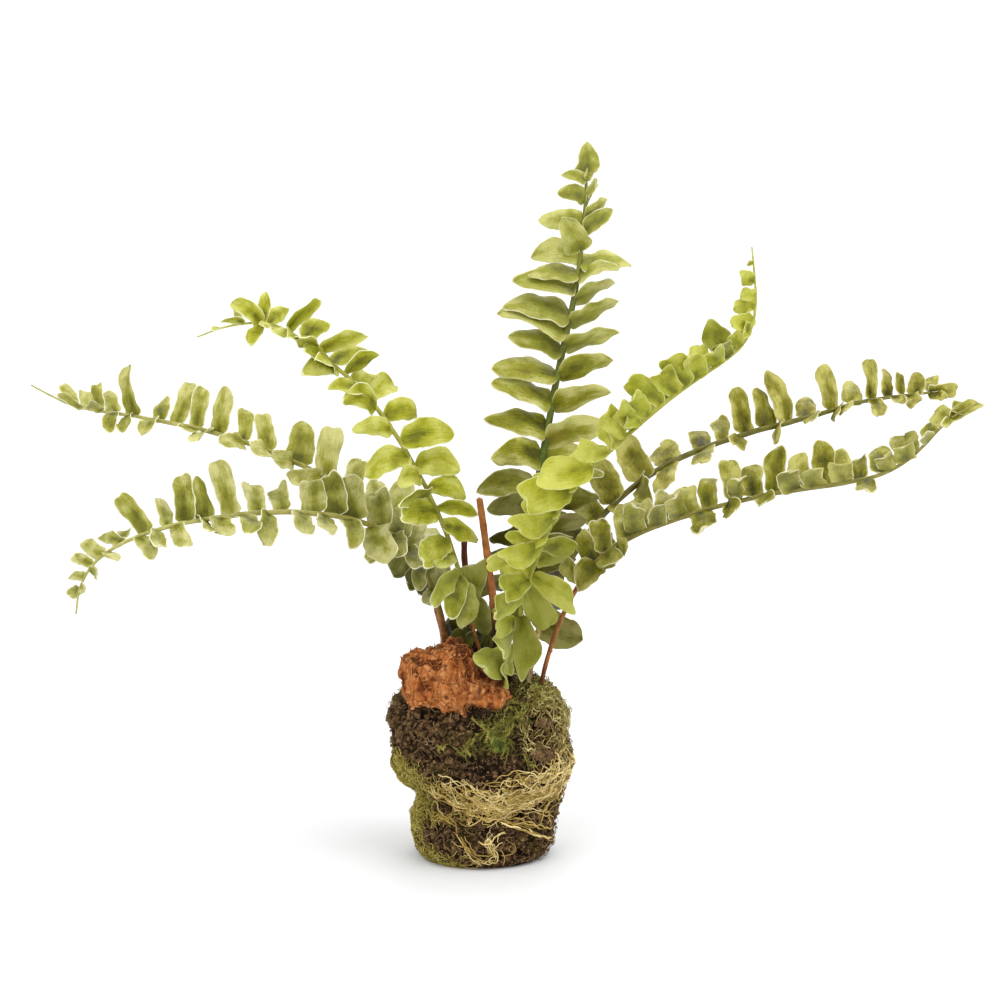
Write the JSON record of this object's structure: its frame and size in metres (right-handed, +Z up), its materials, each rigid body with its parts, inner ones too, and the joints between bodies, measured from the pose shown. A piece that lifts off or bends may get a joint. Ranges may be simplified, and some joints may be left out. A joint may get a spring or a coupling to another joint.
{
  "type": "fern with root ball",
  "caption": "Small leafy fern with arching fronds standing on a bare pot-shaped root ball of dark soil, moss and tan roots",
  "frame": {"origin": "centre of the flat underside of the root ball, at the base mount", "axes": "+X across the widest spread of the fronds, +Y to the back, +Z up"},
  "size_m": [0.4011, 0.1819, 0.2931],
  "materials": {
    "soil": "matt dark crumbly soil",
    "bark_fibre": "matt orange-brown coarse fibre",
    "moss": "matt tangled moss",
    "root_fibre": "dull tan roots",
    "stalk": "satin brown stalk",
    "leaf": "slightly waxy translucent leaf"
  },
  "bodies": {
    "root": {"root_ball": "soil", "fibre_chunk": "bark_fibre", "moss_front": "moss", "moss_top_right": "moss", "moss_left": "moss", "moss_back": "moss", "root_fibre_band": "root_fibre", "root_strand_upper": "root_fibre", "root_strand_lower": "root_fibre", "root_strand_back": "root_fibre", "stub_tall": "stalk", "stub_pointed": "stalk", "stub_pale": "stalk", "stub_thin": "stalk", "frond_1_stalk": "stalk", "frond_1_blade": "leaf", "frond_2_stalk": "stalk", "frond_2_blade": "leaf", "frond_3_stalk": "stalk", "frond_3_blade": "leaf", "frond_4_stalk": "stalk", "frond_4_blade": "leaf", "frond_5_stalk": "stalk", "frond_5_blade": "leaf", "frond_6_stalk": "stalk", "frond_6_blade": "leaf", "frond_7_stalk": "stalk", "frond_7_blade": "leaf"}
  },
  "joints": []
}
